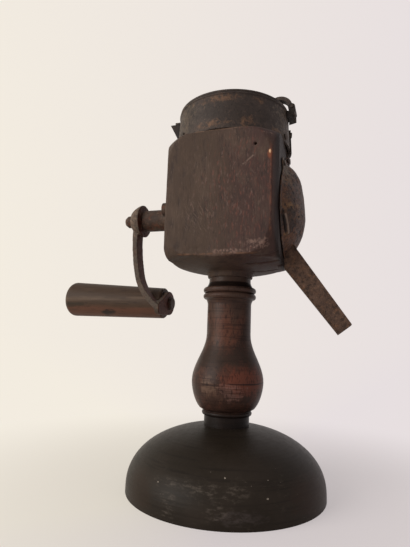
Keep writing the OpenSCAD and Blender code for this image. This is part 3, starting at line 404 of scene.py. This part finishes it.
# Marks, lines and sides of the single irons, as old_iron takes them
OCHRE = srgb(100, 74, 56)
SOOT = srgb(28, 20, 17)
TAN = srgb(124, 94, 64)
hopper_marks = [
    (srgb(84, 71, 58), 0.8, (-27, -21, 198), (12, 16, 15)),
    (srgb(96, 84, 73), 0.8, (33, -6, 198), (8, 14, 14)),
    (OCHRE, 0.8, (-3, -32, 204.6), (10, 4, 2)),
    (OCHRE, 0.7, (20, -25.4, 204.6), (3.5, 3, 1.8)),
    (OCHRE, 0.8, (-7, -32, 190), (10, 4, 2)),
    (OCHRE, 0.8, (14, -29.4, 191), (4, 3, 2.8)),
    (OCHRE, 0.7, (28.5, -17, 189.5), (3, 5, 1.8)),
]
# Rust patches and dark and pale spots on the cover, with one painted highlight and one patch of painted
# shade
cover_rust_and_painted_light_marks = [
    # Painted grey highlight on the middle of the dome
    (srgb(86, 72, 68), 0.7, (40, -8, 150), (6, 12, 22)),
    (srgb(108, 80, 62), 0.85, (35, -20, 142), (3, 5, 9)),
    (srgb(104, 80, 55), 0.8, (33.5, -17, 163), (4, 6, 5)),
    # Painted shade: a dark crescent around the slit
    (srgb(34, 24, 20), 0.95, (34, -20, 143), (5, 8, 15)),
    (srgb(108, 76, 50), 0.8, (34, -22, 147), (3, 3, 4)),
    (srgb(102, 68, 47), 0.8, (35, -16, 131), (4, 6, 5)),
    (srgb(104, 95, 84), 0.9, (32, -14, 172), (4, 8, 8)),
    (SOOT, 1.0, (35, -17.5, 144.5), (3, 3, 2.5)),
    (SOOT, 1.0, (35.5, -17, 135), (3, 3, 3.5)),
    (SOOT, 1.0, (34.5, -17, 126.5), (3, 3.5, 2.5)),
    (SOOT, 1.0, (37, -14, 139.5), (3, 3, 2.5)),
    (TAN, 0.9, (34.5, -19, 147.5), (3, 2, 1.3)),
    (TAN, 0.9, (39.5, -12, 143), (3, 2, 1.3)),
    (TAN, 0.9, (34.5, -18, 132.5), (3, 1.6, 1.5)),
    (TAN, 0.9, (34, -18.5, 129.5), (3, 1.6, 1.3)),
    (TAN, 0.9, (38, -13, 148), (3, 2, 1.2)),
]
slit_shade_and_highlight_lines = [
    # Painted highlight along the slit's far edge
    (srgb(122, 104, 92), (33.6, -21.2, 142), (34.9, -16.2, 133.5), 0.9),
    # Painted shade inside the slit
    (srgb(14, 10, 8), *SLIT, 1.3),
]
hub_marks = [(srgb(112, 92, 77), 0.7, (-61, -6, 152), (7, 9, 9))]
# The arm's inner face is tinted red-brown, and its front face is painted lighter, as lit from the front
arm_red_and_lit_faces = [(srgb(84, 45, 33), 0.8, (1, 0, 0)), (srgb(80, 71, 62), 0.6, (0, -1, 0))]
forged = {
    "dark": srgb(58, 44, 36), "light": srgb(82, 64, 52), "rust": srgb(90, 52, 37),
    "rust_from": 0.5, "rough": 0.42, "pits": 0.4, "mottle": 0.4,
}

hopper_iron = old_iron(
    "hopper_iron", dark=srgb(50, 42, 38), light=srgb(64, 54, 49), rust=srgb(84, 60, 44),
    rust_from=0.64, rough=0.4, pits=0.2, mottle=0.2, marks=hopper_marks)
fitting_iron = old_iron(
    "fitting_iron", dark=srgb(34, 28, 25), light=srgb(50, 42, 37), rust=srgb(70, 48, 36),
    rust_from=0.58, rough=0.45, pits=0.3)
cover_iron = old_iron(
    "cover_iron", dark=srgb(66, 51, 45), light=srgb(82, 67, 61), rust=srgb(96, 64, 45),
    rust_from=0.46, rough=0.4, pits=0.6, mottle=1.0, marks=cover_rust_and_painted_light_marks, lines=slit_shade_and_highlight_lines)
spout_iron = old_iron(
    "spout_iron", dark=srgb(70, 52, 42), light=srgb(92, 70, 58), rust=srgb(102, 72, 52),
    rust_from=0.52, rough=0.5, pits=0.5, mottle=0.6)
forged_iron = old_iron("forged_iron", **forged)
arm_iron = old_iron("arm_iron", **forged, sides=arm_red_and_lit_faces, marks=hub_marks)
burr_iron = old_iron(
    "burr_iron", dark=srgb(60, 56, 52), light=srgb(92, 86, 80), rust=srgb(92, 66, 50),
    rust_from=0.6, rough=0.4, pits=0.3)
nail_iron = old_iron(
    "nail_iron", dark=srgb(52, 43, 38), light=srgb(84, 70, 60), rust=srgb(94, 65, 47),
    rust_from=0.58, rough=0.4, pits=0.2)

iron_pieces = (
    (hopper_iron, ("hopper", "hopper_strap", "strap_nails", "lid")),
    (fitting_iron, ("hinge_leaf", "lid_catch")),
    (cover_iron, ("cover", "cover_nails")),
    (spout_iron, ("spout",)),
    (forged_iron, ("bearing_plate", "shaft", "grip_spindle", "grip_washer")),
    (arm_iron, ("crank_arm",)),
    (burr_iron, ("grinding_cone", "burr_ring", "bearing_bridge")),
    (nail_iron, ("hopper_nails", "bearing_nails", "bridge_screws", "hinge_rivets", "hinge_pin",
                 "catch_rivet")),
)
looks = {"block": block_wood(), "foot": foot_wood(), "stem": stem_wood(), "grip": grip_wood()}
for material, names in iron_pieces:
    looks.update(dict.fromkeys(names, material))
for name, node in nodes.items():
    node.data.materials.clear()
    node.data.materials.append(looks[name])


# Worn pieces that stand for CAD nodes

def with_modifiers(piece):
    """The piece's mesh with its modifiers worked in."""
    bpy.context.view_layer.update()
    return bpy.data.meshes.new_from_object(piece.evaluated_get(bpy.context.evaluated_depsgraph_get()))


def everywhere(place):
    """The share of a piece that is rubbed all over."""
    return 1.0


def worn(name, voxel, rubs, depth, share=everywhere):
    """A piece that stands for a node: meshed evenly, rubbed round by a share, then cut in by a depth."""
    blank = bpy.data.objects.new(name + "_blank", nodes[name].data.copy())
    bpy.context.scene.collection.objects.link(blank)
    even = blank.modifiers.new("even", "REMESH")
    even.mode = "VOXEL"
    even.voxel_size = voxel * MM
    blank.data = with_modifiers(blank)
    blank.modifiers.clear()
    rubbed = blank.vertex_groups.new(name="rubbed")
    for v in blank.data.vertices:
        rubbed.add([v.index], share(v.co / MM), "REPLACE")
    rub = blank.modifiers.new("rub", "SMOOTH")
    rub.factor = 0.5
    rub.iterations = rubs
    rub.vertex_group = "rubbed"
    mesh = with_modifiers(blank)
    bpy.data.objects.remove(blank)
    cut = [v.co - v.normal * (depth(v.co / MM) * MM) for v in mesh.vertices]
    for v, place in zip(mesh.vertices, cut):
        v.co = place
    mesh.polygons.foreach_set("use_smooth", [True] * len(mesh.polygons))
    mesh.materials.clear()
    mesh.materials.append(looks[name])
    piece = bpy.data.objects.new(name + "_worn", mesh)
    bpy.context.scene.collection.objects.link(piece)
    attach(piece, bodies[name])
    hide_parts(name)


def hewn(place, size, most):
    """Uneven hand work: hollows about size across and at most that deep."""
    return most * (0.5 + 0.5 * noise.noise(place / size))


def groove(place, start, end, half, most):
    """A cut along a straight line, deepest in its middle."""
    along = end - start
    share = max(0.0, min(1.0, (place - start).dot(along) / along.length_squared))
    return most * max(0.0, 1 - (place - start - along * share).length / half)


# Wear of the block: drying splits in its underside, in X and Y, and chips along its lower front edge
splits = [
    (Vector((18, -29)), Vector((30, -24))),
    (Vector((14, -21)), Vector((30, -15))),
    (Vector((13, -5)), Vector((30, 1))),
]
underside_top = block_low.z + 12
SPLIT_WAVE = 0.4
SPLIT_WAVE_SIZE = 3
CHIP_REACH = 2
CHIP_SIZE = 2.5
CHIP_DEPTH = 0.7
CHIP_FROM = 0.1
# What is kept unworn below the hopper's seat and behind the spout
SEAT_KEPT = 1
SPOUT_KEPT = 3
# How far the block's edge comes out to meet the spout
SPOUT_FILL = 0.6


def under_hopper(place):
    """Whether a place on the block is at the hopper's seat."""
    return place.z > hopper_seat - SEAT_KEPT


def behind_spout(place):
    """Whether a place on the block is where the spout meets it."""
    beside = abs(place.y) > spout_high.y
    return place.x > spout_low.x - SPOUT_KEPT and place.z < spout_high.z and not beside


def block_share(place):
    """The block is worn except where the hopper stands on it and where the spout meets its edge."""
    return 0.0 if under_hopper(place) or behind_spout(place) else 1.0


def block_depth(place):
    """Hewn faces, chips along the lower front edge and drying splits in the underside."""
    if behind_spout(place):
        return -SPOUT_FILL
    if under_hopper(place):
        return 0.0
    depth = hewn(place, size=9, most=0.18) + hewn(place, size=3, most=0.06)
    if place.z < underside_top:
        wavy = place.xy + SPLIT_WAVE * Vector((0, noise.noise(place / SPLIT_WAVE_SIZE)))
        depth += sum(groove(wavy, start, end, half=0.9, most=0.9) for start, end in splits)
        front = max(0.0, 1 - (place.y - block_low.y) / CHIP_REACH)
        depth += CHIP_DEPTH * front * max(0.0, noise.noise(place / CHIP_SIZE) - CHIP_FROM)
    return depth


def cover_depth(place):
    """Hammered sheet with rust pits and one torn slit near its front edge."""
    hammered = hewn(place, size=7, most=0.5) + hewn(place, size=2, most=0.15)
    return hammered + groove(place, *SLIT, half=1.4, most=1.0)


def forged_depth(place):
    """Shallow hammer marks."""
    return hewn(place, size=5, most=0.2)


worn("block", voxel=0.7, rubs=5, depth=block_depth, share=block_share)
worn("cover", voxel=0.45, rubs=3, depth=cover_depth)
worn("crank_arm", voxel=0.4, rubs=3, depth=forged_depth)


# The stage

CREAM = srgb(243, 236, 224)
LILAC = srgb(231, 223, 224)
# How far towards +X the lilac starts and is full, from -1 to 1
LILAC_FROM = -0.7
LILAC_FULL = 0.2
SKY_COLOUR = (1.0, 0.97, 0.94, 1.0)
SKY_STRENGTH = 0.42
FLOOR_RINGS = (0.08, 0.16, 0.3, 0.5, 0.8, 1.4, 3.0, 8.0)
FLOOR_TURNS = 96
# Millimetres from the middle where the cloth starts to glow more, and where it glows in full
GLOW_FROM = 60
GLOW_FULL = 240
LAMP_AIM = Vector((0, 0, 0.11))
CAMERA_PLACE = Vector((0.0598, -0.23329, 0.07802))
CAMERA_LOOK = Vector((-0.3022, 0.9413, 0.1507))
CAMERA_UP = Vector((0.0131, -0.1539, 0.988))
CAMERA_LENS = 28.08
CAMERA_SENSOR = 36.0
CAMERA_NEAR = 0.005


def pale_colour(tree, towards_x):
    """Cream that turns to lilac towards +X."""
    inputs = {"Value": towards_x, "From Min": LILAC_FROM, "From Max": LILAC_FULL}
    return mix_colours(tree, add_node(tree, "ShaderNodeMapRange", inputs).outputs[0], CREAM, LILAC)


def seen(tree):
    """1 for what the camera sees, also in a shiny or clear surface, and 0 for light on the mill."""
    path = add_node(tree, "ShaderNodeLightPath", {}).outputs
    larger = partial(add_node, tree, "ShaderNodeMath", operation="MAXIMUM")
    shiny = larger({0: path["Is Glossy Ray"], 1: path["Is Transmission Ray"]}).outputs[0]
    return larger({0: path["Is Camera Ray"], 1: shiny}).outputs[0]


def pale_world():
    """Soft light from all round; the camera and shiny surfaces see a pale backdrop, cooler towards +X."""
    world = bpy.data.worlds.new("pale_world")
    bpy.context.scene.world = world
    world.use_nodes = True
    tree = world.node_tree
    tree.nodes.clear()
    add = partial(add_node, tree)
    way = add("ShaderNodeTexCoord", {}).outputs["Generated"]
    towards_x = add("ShaderNodeSeparateXYZ", {"Vector": way}).outputs[0]
    light = add("ShaderNodeBackground", {"Color": SKY_COLOUR, "Strength": SKY_STRENGTH}).outputs[0]
    backdrop = add("ShaderNodeBackground", {"Color": pale_colour(tree, towards_x)}).outputs[0]
    both = add("ShaderNodeMixShader", {0: seen(tree), 1: light, 2: backdrop}).outputs[0]
    add("ShaderNodeOutputWorld", {"Surface": both})


def floor_mesh():
    """A flat round sheet of rings about the middle."""
    points = [(0.0, 0.0, 0.0)]
    for radius in FLOOR_RINGS:
        for turn in range(FLOOR_TURNS):
            angle = 2 * math.pi * turn / FLOOR_TURNS
            points.append((radius * math.cos(angle), radius * math.sin(angle), 0.0))
    faces = []
    for turn in range(FLOOR_TURNS):
        after = (turn + 1) % FLOOR_TURNS
        faces.append((0, 1 + turn, 1 + after))
        for ring in range(len(FLOOR_RINGS) - 1):
            inner = 1 + ring * FLOOR_TURNS
            outer = inner + FLOOR_TURNS
            faces.append((inner + turn, outer + turn, outer + after, inner + after))
    mesh = bpy.data.meshes.new("floor")
    mesh.from_pydata(points, [], faces)
    return mesh


def pale_cloth():
    """Pale cloth that keeps the shadow near the mill and glows into the backdrop further off."""
    cloth = Paint("pale_cloth", CREAM)
    away = cloth.vector("LENGTH", cloth.place)
    cloth.colour = pale_colour(cloth.tree, cloth.math("DIVIDE", cloth.x, away))
    weave = cloth.noise(1.1, detail=3)
    cloth.bump(weave, distance=0.2, strength=0.2)
    material = cloth.finish(cloth.vary(weave, 0.88, 0.05), specular=0.0)
    glow = cloth.add("ShaderNodeEmission", {"Color": cloth.colour, "Strength": 1.0}).outputs[0]
    amount = cloth.both(cloth.vary(cloth.step(away, GLOW_FROM, GLOW_FULL), 0.5, 0.5), seen(cloth.tree))
    shaded = cloth.shader.outputs[0]
    surface = cloth.add("ShaderNodeMixShader", {0: amount, 1: shaded, 2: glow}).outputs[0]
    cloth.tree.links.new(surface, cloth.tree.nodes["Material Output"].inputs["Surface"])
    return material


def pale_floor():
    """The floor under the mill, kept out of the part."""
    mesh = floor_mesh()
    mesh.materials.append(pale_cloth())
    floor = bpy.data.objects.new("floor", mesh)
    bpy.context.scene.collection.objects.link(floor)


def lamp(name, place, size, power, colour):
    """A soft square lamp that points at the mill's middle."""
    data = bpy.data.lights.new(name, "AREA")
    data.size = size
    data.energy = power
    data.color = colour
    obj = bpy.data.objects.new(name, data)
    obj.location = place
    obj.rotation_euler = (LAMP_AIM - Vector(place)).to_track_quat("-Z", "Y").to_euler()
    bpy.context.scene.collection.objects.link(obj)


def photo_camera():
    """The photograph's viewpoint: close, low and looking a little up."""
    look = CAMERA_LOOK.normalized()
    right = look.cross(CAMERA_UP).normalized()
    up = right.cross(look)
    data = bpy.data.cameras.new("photo_camera")
    data.lens = CAMERA_LENS
    data.sensor_width = CAMERA_SENSOR
    data.clip_start = CAMERA_NEAR
    obj = bpy.data.objects.new("photo_camera", data)
    turn = Matrix((right, up, -look)).transposed().to_4x4()
    obj.matrix_world = Matrix.Translation(CAMERA_PLACE) @ turn
    bpy.context.scene.collection.objects.link(obj)
    bpy.context.scene.camera = obj


pale_world()
pale_floor()
lamp("window", place=(-0.8, -0.85, 0.42), size=0.9, power=13.0, colour=(1.0, 0.98, 0.95))
photo_camera()
bpy.context.scene.view_settings.view_transform = "Standard"
